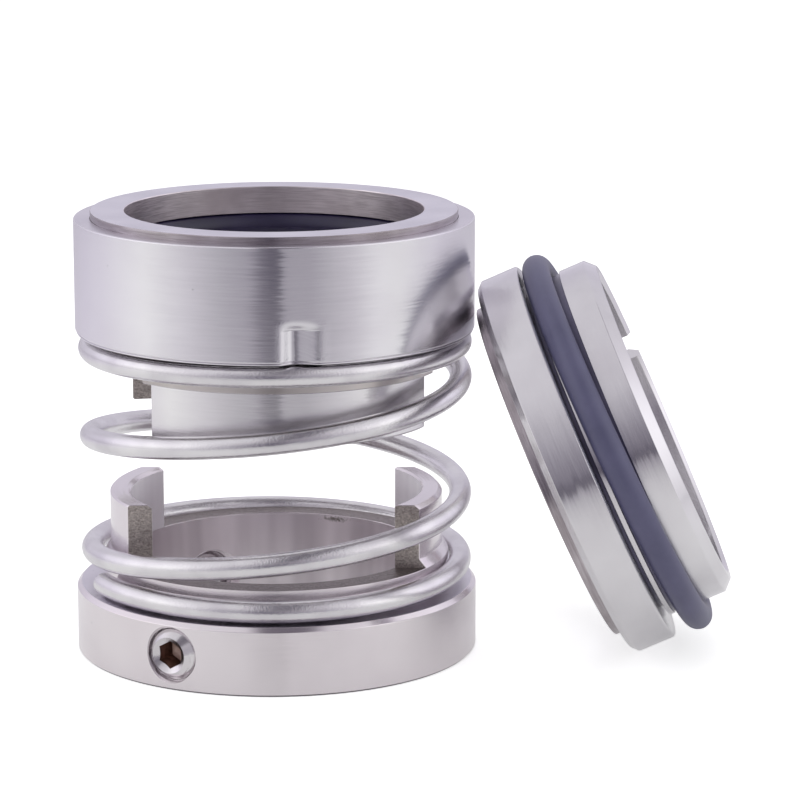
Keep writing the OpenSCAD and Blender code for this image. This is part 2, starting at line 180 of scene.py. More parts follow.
def skin(rows, count, closed=False):
    """Faces of a grid of rows with count points each. The last row joins the first if it is closed,
    and otherwise both ends are capped."""
    faces = []
    for j in range(rows if closed else rows - 1):
        n = (j + 1) % rows
        for i in range(count):
            k = (i + 1) % count
            faces.append((j * count + i, n * count + i, n * count + k, j * count + k))
    if not closed:
        faces += [tuple(range(count)), tuple(range((rows - 1) * count, rows * count))]
    return faces


def turned(name, outline, place=None, steps=288, angles=None, shift=None):
    """Outline turned about Z. shift moves a point of the skin, given its angle, r and z."""
    angles = angles or [TAU * j / steps for j in range(steps)]
    points = []
    for a in angles:
        for r, z in outline:
            if shift:
                r, z = shift(a, r, z)
            points.append((r * math.cos(a), r * math.sin(a), z))
    return piece_of(name, points, skin(len(angles), len(outline), True), place)


def sector(name, outline, centre, end_angle, ease, steps=48):
    """Part of a turned ring between two flat end faces, whose edges are eased. end_angle gives half
    of its width as an angle, at a radius and that far back from the end face."""
    arc = [k * math.pi / 8 for k in range(5)]
    rows = [(-1, ease * (1 - math.cos(u)), ease * (1 - math.sin(u))) for u in arc]
    middle = [(-1 + 2 * k / steps, ease, 0) for k in range(1, steps)]
    rows += middle + [(1, back, deep) for _, back, deep in reversed(rows)]
    points = []
    for t, back, deep in rows:
        for r, z in inset(outline, deep):
            a = centre + t * end_angle(r, back)
            points.append((r * math.cos(a), r * math.sin(a), z))
    return piece_of(name, points, skin(len(rows), len(outline)))


def along_radius(turn):
    """Place of a rod that runs out along a radius, at the height of the set screws."""
    return (Matrix.Rotation(math.radians(turn), 4, "Z") @ Matrix.Translation((0, 0, SCREW_Z * MM))
            @ Matrix.Rotation(math.pi / 2, 4, "Y"))


def threaded_rod(name, start, end, rows, radius, place, sides=72):
    """Rod with a thread. radius gives its radius, from the way out along it and the thread's
    profile there, which goes from 0 to 1 and back in each turn."""
    points = []
    for j in range(rows + 1):
        w = start + (end - start) * j / rows
        for i in range(sides):
            a = TAU * i / sides
            phase = (w / THREAD_PITCH - i / sides) % 1
            r = radius(w, max(0.0, 1 - abs(phase * 2 - 1) * 1.35))
            points.append((r * math.cos(a), r * math.sin(a), w))
    return piece_of(name, points, skin(rows + 1, sides), place)


def settle(piece):
    """Applies the piece's modifiers."""
    bpy.context.view_layer.update()
    graph = bpy.context.evaluated_depsgraph_get()
    mesh = bpy.data.meshes.new_from_object(piece.evaluated_get(graph))
    piece.modifiers.clear()
    old, piece.data = piece.data, mesh
    bpy.data.meshes.remove(old)


def join(target, tool, operation):
    """Adds or cuts the tool, which is used up."""
    change = target.modifiers.new("change", "BOOLEAN")
    change.object, change.operation, change.solver = tool, operation, "EXACT"
    settle(target)
    bpy.data.objects.remove(tool)


def smooth(piece, angle=32):
    """Shades the skin smooth between sharp edges, and flat faces flat."""
    piece.data.shade_smooth()
    piece.data.set_sharp_from_angle(angle=math.radians(angle))
    even = piece.modifiers.new("even", "WEIGHTED_NORMAL")
    even.keep_sharp = True
    settle(piece)


def dress(piece, finishes, pick=None):
    """Gives the piece its materials. pick says which one a face has, from its centre and normal."""
    piece.data.materials.clear()
    for finish in finishes:
        piece.data.materials.append(finish)
    order = {finish.name: index for index, finish in enumerate(finishes)}
    for face in piece.data.polygons:
        face.material_index = order[pick(face.center / MM, face.normal).name] if pick else 0


def fit(piece, body, node):
    """The piece stands for a node and moves with its body."""
    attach(piece, body)
    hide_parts(node)


# Nodes of a material

def colour(code):
    """sRGB hex value as linear red, green, blue and alpha."""
    parts = [int(code[i:i + 2], 16) / 255 for i in (0, 2, 4)]
    return [p / 12.92 if p <= 0.04045 else ((p + 0.055) / 1.055) ** 2.4 for p in parts] + [1]


def feed(tree, node, inputs):
    """Gives a node's settings and inputs their values, or the outputs of other nodes."""
    for key, value in inputs.items():
        if isinstance(value, bpy.types.NodeSocket):
            tree.links.new(value, node.inputs[key])
        elif isinstance(key, str) and hasattr(node, key):
            setattr(node, key, value)
        else:
            node.inputs[key].default_value = value
    return node


def put(tree, kind, inputs=None):
    """Adds a node and feeds it."""
    return feed(tree, tree.nodes.new("ShaderNode" + kind), inputs or {})


def blank(name):
    """New material, ready for nodes: the material, its tree, its shader and the place on the piece."""
    material = bpy.data.materials.new(name)
    material.use_nodes = True
    tree = material.node_tree
    return material, tree, tree.nodes["Principled BSDF"], put(tree, "TexCoord").outputs["Object"]


def number(tree, operation, *terms):
    """Result of an operation on numbers or outputs."""
    return put(tree, "Math", {"operation": operation, **dict(enumerate(terms))}).outputs[0]


def vector(tree, operation, one, two=None):
    """Result of an operation on a vector, with a second vector or a scale where it needs one."""
    second = {} if two is None else {"Scale" if operation == "SCALE" else 1: two}
    node = put(tree, "VectorMath", {"operation": operation, 0: one, **second})
    return node.outputs["Value" if operation in ("LENGTH", "DOT_PRODUCT") else "Vector"]


def noise(tree, place, scale, detail=2.0, roughness=0.5):
    """Cloudy noise from 0 to 1. In object coordinates a feature is about 1/scale metres wide."""
    sets = {"Vector": place, "Scale": scale, "Detail": detail, "Roughness": roughness}
    return put(tree, "TexNoise", sets).outputs[0]


def ramp(tree, source, low, high, to_low, to_high, course="LINEAR"):
    """Maps a range of the source to another, clamped."""
    sets = {"interpolation_type": course, "Value": source, "From Min": low, "From Max": high,
            "To Min": to_low, "To Max": to_high}
    return put(tree, "MapRange", sets).outputs[0]


def mixed(tree, share, one, two):
    """Colour between one and two, which are hex values, linear colours or outputs."""
    one, two = (colour(shade) if isinstance(shade, str) else shade for shade in (one, two))
    return put(tree, "Mix", {"data_type": "RGBA", 0: share, 6: one, 7: two}).outputs[2]


def bumped(tree, height, strength, relief, normal=None):
    """Normal for a relief of that many millimetres."""
    sets = {"Strength": strength, "Distance": relief * MM, "Height": height}
    if normal is not None:
        sets["Normal"] = normal
    return put(tree, "Bump", sets).outputs[0]


def lay_coordinates(tree, place, along, across):
    """The place as direction round the axis and distance along the skin, for turned patterns.
    along is the length of a feature round the ring and across its width, in millimetres."""
    usual_radius = 35
    parts = put(tree, "SeparateXYZ", {0: place}).outputs
    flat = put(tree, "CombineXYZ", {0: parts[0], 1: parts[1]}).outputs[0]
    spread = vector(tree, "SCALE", vector(tree, "NORMALIZE", flat), usual_radius / along)
    deep = number(tree, "ADD", vector(tree, "LENGTH", flat), parts[2])
    lift = put(tree, "CombineXYZ", {2: number(tree, "MULTIPLY", deep, 1 / (across * MM))}).outputs[0]
    return vector(tree, "ADD", spread, lift)


# Materials

def turned_steel(name, light, dark, rough=0.2, chatter=0.5, stretch=0.8, relief=0.012, sway=0.042,
                 streaks=0.0):
    """Austenitic stainless steel, fine turned. The tool's rings draw each reflection out along the
    axis, and its chatter leaves short lines where a reflection turns from light to dark.
    Real rings are about 0.1 mm apart, drawn here chatter mm apart so that they show."""
    material, tree, shader, place = blank(name)
    rings = noise(tree, lay_coordinates(tree, place, 6, chatter), 1.0, 2.0, 0.55)
    smudge = noise(tree, place, 60.0, 4.0)
    pits = put(tree, "TexVoronoi", {"Vector": place, "Scale": 150.0}).outputs["Distance"]
    tone = mixed(tree, ramp(tree, smudge, 0.4, 0.75, 0, 1), light, dark)
    tone = mixed(tree, ramp(tree, pits, 0.012, 0.03, 0.6, 0), tone, "5A5560")
    tone = mixed(tree, ramp(tree, rings, 0.42, 0.62, 0, streaks), tone, dark)
    round_axis = put(tree, "Tangent", {"direction_type": "RADIAL", "axis": "Z"}).outputs[0]
    lines = noise(tree, lay_coordinates(tree, place, 9, 0.45), 1.0, 1.0)
    tilt = vector(tree, "SCALE", round_axis, ramp(tree, lines, 0, 1, -sway, sway))
    bent = vector(tree, "ADD", bumped(tree, rings, 1.0, relief), tilt)
    feed(tree, shader, {"Base Color": tone, "Metallic": 1,
                        "Roughness": ramp(tree, smudge, 0.4, 0.7, rough - 0.01, rough + 0.02),
                        "Normal": vector(tree, "NORMALIZE", bent), "Tangent": round_axis,
                        "Anisotropic": stretch, "Anisotropic Rotation": 0.25})
    return material


def bored_steel(name, dull, bright, metal):
    """Stainless steel bored out: duller than the outside, in broad faint bands along the bore, with
    a small olive stain below the back slot."""
    stain_at, stain_shape = (0.0107, 0.0258, 0.0182), (0.5, 0.5, 2.2)
    material, tree, shader, place = blank(name)
    bands = put(tree, "Mapping", {0: place, "Scale": (1, 1, 0.02)}).outputs[0]
    grit = noise(tree, place, 2200.0)
    tone = mixed(tree, ramp(tree, noise(tree, bands, 140.0), 0.35, 0.65, 0, 1), dull, bright)
    smear = vector(tree, "MULTIPLY", vector(tree, "SUBTRACT", place, stain_at), stain_shape)
    torn = number(tree, "MULTIPLY_ADD", grit, 0.003, vector(tree, "LENGTH", smear))
    tone = mixed(tree, ramp(tree, torn, 0.0018, 0.0030, 0.8, 0), tone, "5B5A4A")
    feed(tree, shader, {"Base Color": tone, "Metallic": metal, "Roughness": 0.34,
                        "Normal": bumped(tree, grit, 0.3, 0.02)})
    return material


def milled_steel(name, low, high):
    """Stainless steel left rough by the slot cutter: grey-brown, with level streaks and torn grain."""
    material, tree, shader, place = blank(name)
    level = put(tree, "Mapping", {0: place, "Scale": (900, 3600, 3600)}).outputs[0]
    torn = number(tree, "MULTIPLY", noise(tree, level, 1.0, 4.0, 0.65), noise(tree, place, 3200.0))
    tone = mixed(tree, ramp(tree, torn, 0.14, 0.4, 0, 1), low, high)
    feed(tree, shader, {"Base Color": tone, "Metallic": 1, "Roughness": 0.45,
                        "Normal": bumped(tree, torn, 0.6, 0.04)})
    return material


def roughen(material, angle):
    """Orange peel on the flanks of the crimps, where the skin was drawn: grain about 0.3 mm wide.
    angle is the direction of a crimp, with the other opposite."""
    tree = material.node_tree
    shader = tree.nodes["Principled BSDF"]
    place = put(tree, "TexCoord").outputs["Object"]
    across = (-math.sin(angle), math.cos(angle), 0)
    beside = number(tree, "ABSOLUTE", vector(tree, "DOT_PRODUCT", place, across))
    height = put(tree, "SeparateXYZ", {0: place}).outputs[2]
    inner = ramp(tree, beside, 0.0014, 0.0036, 0, 1, "SMOOTHSTEP")
    outer = ramp(tree, beside, 0.0042, 0.0056, 1, 0, "SMOOTHSTEP")
    low = ramp(tree, height, 0.0695, 0.0715, 1, 0, "SMOOTHSTEP")
    flank = number(tree, "MULTIPLY", number(tree, "MULTIPLY", inner, outer), low)
    peel = number(tree, "MULTIPLY", noise(tree, place, 4200.0), flank)
    turned_skin = shader.inputs["Normal"].links[0].from_socket
    feed(tree, shader, {"Normal": bumped(tree, peel, 1.0, 0.05, turned_skin)})


def pressed_socket():
    """Hexagon socket of a set screw: pressed, never polished, brown with old oil and oxide."""
    material, tree, shader, place = blank("oily brown screw socket")
    film = noise(tree, place, 700.0, 3.0)
    tone = mixed(tree, ramp(tree, film, 0.35, 0.65, 0, 1), "B39C92", "8A7167")
    feed(tree, shader, {"Base Color": tone, "Metallic": 1,
                        "Roughness": ramp(tree, film, 0.3, 0.7, 0.32, 0.45)})
    return material


def drawn_wire():
    """Cold-drawn stainless spring wire: polished by the die, with fine pits left in the skin."""
    material, tree, shader, place = blank("drawn stainless spring wire")
    pits = noise(tree, place, 2600.0, 3.0, 0.7)
    tone = mixed(tree, ramp(tree, noise(tree, place, 120.0), 0.4, 0.65, 0, 1), "E0DEE0", "D2CFD3")
    feed(tree, shader, {"Base Color": tone, "Metallic": 1,
                        "Roughness": ramp(tree, pits, 0.35, 0.7, 0.07, 0.15),
                        "Normal": bumped(tree, pits, 1.0, 0.05)})
    return material


def lapped_face():
    """Hard seal face, lapped flat with fine abrasive: even, matt, lavender grey."""
    material, tree, shader, place = blank("lapped hard face")
    grit = noise(tree, place, 2400.0)
    tone = mixed(tree, ramp(tree, noise(tree, place, 70.0, 3.0), 0.35, 0.7, 0, 1), "E6E3EC", "D8D5DF")
    feed(tree, shader, {"Base Color": tone, "Metallic": 1,
                        "Roughness": ramp(tree, grit, 0.3, 0.7, 0.36, 0.46),
                        "Normal": bumped(tree, grit, 0.2, 0.01)})
    return material


def rubber(name, low, high, rough):
    """Moulded fluoroelastomer: smooth from the mould, dull, with faint bloom and dust."""
    material, tree, shader, place = blank(name)
    bloom = noise(tree, place, 110.0, 5.0, 0.6)
    tone = mixed(tree, ramp(tree, bloom, 0.35, 0.7, 0, 1), low, high)
    feed(tree, shader, {"Base Color": tone,
                        "Roughness": ramp(tree, bloom, 0.3, 0.7, rough - 0.05, rough + 0.06),
                        "Normal": bumped(tree, noise(tree, place, 1800.0), 0.15, 0.02)})
    return material


housing_steel = turned_steel("turned stainless steel, carrier", "E1DFE3", "DAD7DC")
roughen(housing_steel, math.radians(HEAD_TURN) + CRIMPS[0])
flat_steel = turned_steel("faced stainless steel", "DAD6DE", "D2CED7", rough=0.3, stretch=0.1)
collar_steel = turned_steel("turned stainless steel, collar", "E5DFE2", "DCD5D9")
# The collar's lower edge is a dark copy of the turned steel: painted contact shade where it meets the floor
shaded_foot_steel = turned_steel("dull stainless steel of the lower edge", "7F7A80", "6B666C", rough=0.3)
fork_steel = turned_steel("turned stainless steel, push ring", "E0DEE0", "D8D5D8")
# The spring shoulder is a rougher, darker copy of the push ring's steel: its darkness is painted shade under
# the coil
shaded_shoulder_steel = turned_steel("dull stainless steel of the spring shoulder", "C6C0BE", "A69E9B", rough=0.3)
seat_steel = turned_steel("turned stainless steel, seat", "DDDBDE", "D0CDD1", chatter=0.45)
# The seat's relief and O-ring groove are a dark copy of its steel: painted shade in the recess
shaded_groove_steel = turned_steel("oily stainless steel of the seat's grooves", "6F6C80", "5A5769", rough=0.3,
                            chatter=0.45)
ground_wall = turned_steel("ground wall of the face rings", "BDB6BA", "8A8185", rough=0.26, chatter=0.22,
                           stretch=0.5, relief=0.02, sway=0.03, streaks=0.5)
ground_bore = turned_steel("ground bore of the face rings", "F4EDF0", "B9B0B4", rough=0.34, chatter=0.22,
                           stretch=0.3, relief=0.02, sway=0.05, streaks=0.6)
bored_wall = bored_steel("bored stainless steel", "CFC8CC", "EDE7EA", 1.0)
# Inside the lugs the bored steel is a lighter, partly diffuse copy: painted light in the enclosed bore
lit_lug_wall = bored_steel("bored stainless steel inside the lugs, painted light", "E4DEE5", "F6F1F6", 0.35)
slot_steel = milled_steel("milled stainless steel, slot walls", "938B87", "D0C7C1")
# The slot beds are a darker copy of the slot walls' milled steel: painted shade beside the spring
shaded_bed_steel = milled_steel("milled stainless steel, slot beds", "6F6767", "ADA3A2")
screw_steel = turned_steel("stainless set screw", "E6E3E5", "C6C2C5", chatter=0.6, stretch=0.2)
socket_steel = pressed_socket()
wire_steel = drawn_wire()
face_grey = lapped_face()
black_rubber = rubber("moulded elastomer, blue-black", "1A1530", "261F40", 0.35)
slate_rubber = rubber("moulded elastomer, slate blue", "52516E", "5E5C7A", 0.42)


# Drive collar

def cone_cutter(turn, mouth):
    """Cone that opens a mouth of a tapped hole. mouth has its two ends, as radius and way out."""
    start, end = mouth
    return turned("sink", [(AXIS, start[1]), start, end, (AXIS, end[1])], along_radius(turn), 96)


def make_collar():
    ring = turned("drive_collar_steel", eased([
        (BORE_R, 0, 0.15), (COLLAR_R - FOOT_EDGE, 0, 0), (COLLAR_R, FOOT_EDGE, 0),
        (COLLAR_R, COLLAR_H - RIM_EDGE, 0.25), (COLLAR_R - RIM_EDGE, COLLAR_H, 0.25), (NECK_R, COLLAR_H, 0),
        (NECK_R, SLOT_FLOOR, 0.12), (FORK_R, SLOT_FLOOR, 0.12), (BORE_R, BORE_TOP, 0)]))
    lug_outside = NECK_R - 0.02
    for centre, outside, inside in ((0, 0.8, 0.35), (math.pi, 0.35, 0.7)):
        lug = sector("lug", eased([
            (FORK_R, LUG_ROOT, 0), (lug_outside, LUG_ROOT, 0), (lug_outside, SLOT_FLOOR - 0.02, 0),
            (LUG_R, LUG_FOOT, 0.9), (LUG_R, LUG_TOP - outside, 0.2), (LUG_R - outside, LUG_TOP, 0.2),
            (FORK_R + inside, LUG_TOP, 0.2), (FORK_R, LUG_TOP - inside, 0.2)]),
            centre, lambda r, back: math.asin((LUG_HALF - back) / r), 0.18)
        join(ring, lug, "UNION")
    for turn in SCREW_TURNS.values():
        hole = threaded_rod("hole", HOLE_START, HOLE_END, 96,
                            lambda w, groove: HOLE_R + HOLE_THREAD * groove, along_radius(turn))
        join(ring, hole, "DIFFERENCE")
        join(ring, cone_cutter(turn, OUTER_MOUTH), "DIFFERENCE")
        join(ring, cone_cutter(turn, INNER_MOUTH), "DIFFERENCE")
    smooth(ring)

    def pick(at, normal):
        out = math.hypot(at.x, at.y)
        if abs(normal.y) > 0.95 and abs(abs(at.y) - LUG_HALF) < 0.1 and at.z > SLOT_FLOOR:
            return slot_steel
        # Slot beds: painted shade
        if normal.z > 0.95 and abs(at.z - SLOT_FLOOR) < 0.1:
            return shaded_bed_steel
        # Above the slot floor the bore takes the lighter copy, which is painted light
        if out < FORK_R + 0.05 and abs(normal.z) < 0.2:
            return lit_lug_wall if at.z > SLOT_FLOOR else bored_wall
        # Lower edge: painted contact shade
        if at.z < FOOT_EDGE + 0.01 and out > COLLAR_R - FOOT_EDGE - 0.05:
            return shaded_foot_steel
        return flat_steel if abs(at.z - COLLAR_H) < 0.01 else collar_steel
    dress(ring, [collar_steel, slot_steel, bored_wall, shaded_bed_steel, shaded_foot_steel, lit_lug_wall, flat_steel], pick)
    fit(ring, "collar", "drive_collar")


# Set screws

def make_screw(which, turn):
    def radius(w, groove):
        point = SCREW_TIP_R + (w - SCREW_TIP)
        rim = SCREW_FACE_R + (SCREW_END - w)
        return min(point, rim, SCREW_R - SCREW_THREAD * groove)
    place = along_radius(turn)
    screw = threaded_rod("set_screw_%s_steel" % which, SCREW_TIP, SCREW_END, 140, radius, place)
    flat, bottom, outside = SOCKET_FLAT / 2, SCREW_END - SOCKET_DEPTH, SCREW_END + 1
    corner = flat / math.cos(math.pi / 6)
    socket = turned("socket", [(AXIS, bottom - SOCKET_POINT), (corner, bottom), (corner, outside),
                               (AXIS, outside)], place, 6)
    join(screw, socket, "DIFFERENCE")
    mouth = turned("mouth", [(AXIS, SCREW_END - MOUTH_DEPTH), (flat, SCREW_END - MOUTH_DEPTH),
                             (SCREW_FACE_R, SCREW_END), (SCREW_FACE_R, outside), (AXIS, outside)], place, 72)
    join(screw, mouth, "DIFFERENCE")
    cup = turned("cup", [(AXIS, SCREW_TIP + CUP_DEPTH), (AXIS, SCREW_TIP - 1), (CUP_R, SCREW_TIP - 1)],
                 place, 72)
    join(screw, cup, "DIFFERENCE")
    smooth(screw, 28)

    def pick(at, normal):
        inside = math.hypot(at.x, at.y) < corner and SCREW_END - 0.4 > at.z > bottom - SOCKET_POINT - 0.1
        return socket_steel if inside else screw_steel
    dress(screw, [screw_steel, socket_steel], pick)
    fit(screw, "screw_" + which, "set_screw_" + which)


# Coil spring

def spring_height(a):
    """Height of the wire's middle after a degrees."""
    def soft(x):
        """0 before a bend and x after it, rounded between them."""
        if abs(x) >= SPRING_BLEND:
            return max(0, x)
        return (x + SPRING_BLEND) ** 2 / (4 * SPRING_BLEND)
    free = SPRING_H - 2 * SPRING_GAP - WIRE - WIRE * (LEVEL - WIRE_START) / 360
    climb = free * (soft(a - LIFT_OFF) - soft(a - LANDING)) / (LANDING - LIFT_OFF)
    closed = WIRE * (a - WIRE_START - soft(a - LEVEL)) / 360
    sag = SPRING_SAG * math.sin(math.radians(a - WIRE_START)) ** 2 if a < WIRE_START + 180 else 0
    return COLLAR_H + SPRING_GAP + WIRE / 2 + closed + climb - sag


def make_spring():
    def at(a):
        t = math.radians(a)
        return Vector((COIL_R * math.cos(t), COIL_R * math.sin(t), spring_height(a)))

    ease, step, sides = 0.25, 2.5, 56
    degree = 360 / (TAU * COIL_R)
    edge = [(ease * (1 - math.cos(u)) * degree, WIRE / 2 - ease * (1 - math.sin(u)))
            for u in (0, math.pi / 6, math.pi / 3, math.pi / 2)]
    count = int((WIRE_END - WIRE_START) / step)
    stops = [(WIRE_START + run, r) for run, r in edge]
    stops += [(WIRE_START + (WIRE_END - WIRE_START) * k / count, WIRE / 2) for k in range(1, count)]
    stops += [(WIRE_END - run, r) for run, r in reversed(edge)]
    points = []
    for a, r in stops:
        here = at(a)
        ahead = (at(a + 0.5) - at(a - 0.5)).normalized()
        out = Vector((math.cos(math.radians(a)), math.sin(math.radians(a)), 0))
        up = out.cross(ahead).normalized()
        for k in range(sides):
            q = TAU * k / sides
            points.append(here + out * r * math.cos(q) + up * r * math.sin(q))
    spring = piece_of("coil_spring_wire", points, skin(len(stops), sides))
    smooth(spring, 40)
    dress(spring, [wire_steel])
    fit(spring, "spring", "coil_spring")
    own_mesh(spring)


# Push ring

def make_push_ring():
    ring = turned("push_ring_steel", eased([
        (FORK_R, FINGER_CEILING, 0.1), (PILOT_R, FINGER_CEILING, 0.1), (PILOT_R, FLANGE_Z, 0),
        (FLANGE_R, FLANGE_Z, 0.15), (FLANGE_R, FLANGE_TOP, 0.15), (NOSE_R, FLANGE_TOP, 0),
        (NOSE_R, NOSE_TOP, 0.2), (FORK_R, NOSE_TOP, 0.2)]))
    bevel = 0.45
    for centre in (math.pi / 2, 3 * math.pi / 2):
        finger = sector("finger", eased([
            (FORK_R + bevel, FINGER_FOOT, 0.15), (FINGER_R, FINGER_FOOT, bevel), (FINGER_R, PILOT_Z, 0),
            (PILOT_R, PILOT_Z, 0.25), (PILOT_R, FINGER_ROOT, 0), (FORK_R, FINGER_ROOT, 0),
            (FORK_R, FINGER_FOOT + bevel, 0.15)]),
            centre, lambda r, back: math.acos((FINGER_HALF + back) / r), 0.2)
        join(ring, finger, "UNION")
    low, high = FLANGE_Z - 1, FLANGE_TOP + 1
    for crimp in CRIMPS:
        place = Matrix.Translation((NOTCH_OUT * MM * math.cos(crimp), NOTCH_OUT * MM * math.sin(crimp), 0))
        notch = turned("notch", [(AXIS, low), (NOTCH_R, low), (NOTCH_R, high), (AXIS, high)], place, 96)
        join(ring, notch, "DIFFERENCE")
    turn = Matrix.Rotation(math.radians(HEAD_TURN), 4, "Z")
    ring.data.transform(turn)
    smooth(ring)
    back = turn.inverted().to_3x3()

    def pick(at, normal):
        at, normal = back @ at, back @ normal
        if abs(normal.y) > 0.95 and abs(abs(at.y) - FINGER_HALF) < 0.1 and at.z < FINGER_ROOT - 1:
            return slot_steel
        # The pilot's wall under the spring takes the painted shade
        shoulder = abs(math.hypot(at.x, at.y) - PILOT_R) < 0.1 and at.z < FLANGE_Z and abs(normal.z) < 0.3
        return shaded_shoulder_steel if shoulder else fork_steel
    dress(ring, [fork_steel, slot_steel, shaded_shoulder_steel], pick)
    fit(ring, "head", "push_ring")


# Shaft O-ring, carrier and face ring

def make_shaft_o_ring():
    ring = turned("shaft_o_ring_rubber", ring_section(SHAFT_O_R + O_SECTION / 2, SHAFT_O_Z, O_SECTION))
    smooth(ring)
    dress(ring, [black_rubber])
    fit(ring, "head", "shaft_o_ring")


def dent_depth(side, z):
    """Depth of a crimp in the skirt: side is the distance from its middle round the skirt. It is
    steep on its left flank and slow on its right. Below its crease the hollow is as deep all the
    way down, above the crease it is shallower and fades quickly."""
    below = 1.45 * gentle((side + 4.3) / 2.8) * (1 - gentle((side + 1.5) / 5.7))
    above = 0.78 * below * math.exp(-(max(0.0, z - CREASE_Z) / 0.9) ** 2)
    fade = min(1.0, max(0.0, (z - CREASE_Z) / 0.15 + 0.5))
    return below * (1 - fade) + above * fade


def make_carrier():
    # The wall has rows of points for the crimps, close together at the crease
    wall = [63.0 + 0.35 * k for k in range(1, 17)]
    wall += [68.8 + 0.05 * k for k in range(13)] + [69.5 + 0.12 * k for k in range(22)]
    outline = eased([(SKIRT_R, CARRIER_Z, 0.12), (CARRIER_R - 0.4, CARRIER_Z, 0.1),
                     (CARRIER_R, CARRIER_Z + 0.4, 0.1)])
    outline += [(CARRIER_R, z) for z in wall]
    outline += eased([(CARRIER_R, CARRIER_Z + 12, 0), (CARRIER_R, CARRIER_TOP, 0.3),
                      (POCKET_R, CARRIER_TOP, 0.12), (POCKET_R, FACE_Z, 0)])[1:]
    outline += [(CHAMBER_R, FACE_Z), (CHAMBER_R, SKIRT_CEILING), (SKIRT_R, SKIRT_CEILING)]
    outline += [(SKIRT_R, SKIRT_CEILING - 0.5 * k) for k in range(1, 12)]
    steps, crimp_steps, least_gap = 288, 52, 0.0009
    angles = {round(TAU * j / steps - math.pi, 6) for j in range(steps)}
    for crimp in CRIMPS:
        angles.update(round(crimp + CRIMP_HALF * k / crimp_steps, 6)
                      for k in range(-crimp_steps, crimp_steps + 1))
    angles = sorted(angles)
    angles = [a for i, a in enumerate(angles) if i == 0 or a - angles[i - 1] > least_gap]

    def shift(a, r, z):
        if r < SKIRT_R - 0.2 or z > CRIMP_TOP:
            return r, z
        away = min((a - crimp for crimp in CRIMPS), key=abs)
        return r - dent_depth(CARRIER_R * away, z), z
    body = turned("ring_carrier_steel", outline, angles=angles, shift=shift)
    body.data.transform(Matrix.Rotation(math.radians(HEAD_TURN), 4, "Z"))
    smooth(body)

    def pick(at, normal):
        return flat_steel if normal.z > 0.9 and at.z > FACE_Z + 1 else housing_steel
    dress(body, [housing_steel, flat_steel], pick)
    fit(body, "head", "ring_carrier")


def ring_finish(at, normal):
    """Lapped on its flats, ground on its wall and duller in its bore."""
    if abs(normal.z) > 0.9:
        return face_grey
    return ground_bore if math.hypot(at.x, at.y) < FACE_BORE_R + 0.3 else ground_wall


def make_face_ring():
    ring = turned("face_ring_lapped", flat_ring(FACE_R, FACE_BORE_R, FACE_Z, FACE_TOP))
    smooth(ring)
    dress(ring, [face_grey, ground_wall, ground_bore], ring_finish)
    fit(ring, "head", "face_ring")


# Seat, made along its own axis and then leant on the carrier

LEAN = (Matrix.Rotation(math.radians(SEAT_SIDE), 4, "Z")
        @ Matrix.Translation((SEAT_OUT * MM, 0, SEAT_LIFT * MM))
        @ Matrix.Rotation(math.radians(90 - SEAT_LEAN), 4, "Y"))


def make_seat_body():
    pocket_r = SEAT_FACE_R + 0.03
    face_bevel, flange_bevel, back_bevel, mouth_bevel = 1.15, 0.4, 1.9, 0.7
    body = turned("seat_body_steel", eased([
        (pocket_r, 0, 0.12), (SEAT_R - face_bevel, 0, 0.2), (SEAT_R, face_bevel, 0.2),
        (SEAT_R, SEAT_FLANGE - flange_bevel, 0.15), (SEAT_R - flange_bevel, SEAT_FLANGE, 0.1),
        (RELIEF_R, SEAT_FLANGE, 0), (RELIEF_R, RELIEF_END, 0), (SEAT_BODY_R, RELIEF_END, 0.1),
        (SEAT_BODY_R, GROOVE_START, 0.1), (GROOVE_R, GROOVE_START, 0), (GROOVE_R, GROOVE_END, 0),
        (SEAT_BODY_R, GROOVE_END, 0.1), (SEAT_BODY_R, SEAT_LENGTH - back_bevel, 0.2),
        (SEAT_BODY_R - back_bevel, SEAT_LENGTH, 0.15), (MOUTH_R + mouth_bevel, SEAT_LENGTH, 0.12),
        (MOUTH_R, SEAT_LENGTH - mouth_bevel, 0.12), (MOUTH_R, MOUTH_FLOOR, 0),
        (SEAT_BORE_R, MOUTH_FLOOR, 0.15), (SEAT_BORE_R, SEAT_POCKET, 0.1), (pocket_r, SEAT_POCKET, 0)]))
    outside, beyond = 45, 25
    corners = [(x, y, z) for x in (SEAT_BORE_R, outside) for y in (-SEAT_NOTCH_HALF, SEAT_NOTCH_HALF)
               for z in (SEAT_NOTCH_FLOOR, beyond)]
    sides = [(0, 1, 3, 2), (4, 6, 7, 5), (0, 4, 5, 1), (2, 3, 7, 6), (0, 2, 6, 4), (1, 5, 7, 3)]
    notch = piece_of("notch", corners, sides, Matrix.Rotation(math.radians(SEAT_NOTCH_TURN), 4, "Z"))
    join(body, notch, "DIFFERENCE")
    smooth(body)

    def pick(at, normal):
        # Sunk faces between flange and groove take the painted shade
        sunk = RELIEF_R - 0.1 < math.hypot(at.x, at.y) < SEAT_BODY_R - 0.3
        return shaded_groove_steel if sunk and SEAT_FLANGE - 0.6 < at.z < GROOVE_END + 0.3 else seat_steel
    dress(body, [seat_steel, shaded_groove_steel], pick)
    body.matrix_world = LEAN
    fit(body, "collar", "seat_body")


def make_seat_face_ring():
    ring = turned("seat_face_ring_lapped", flat_ring(SEAT_FACE_R, FACE_BORE_R, -SEAT_PROUD, SEAT_POCKET))
    smooth(ring)
    dress(ring, [face_grey, ground_wall, ground_bore], ring_finish)
    ring.matrix_world = LEAN
    fit(ring, "collar", "seat_face_ring")


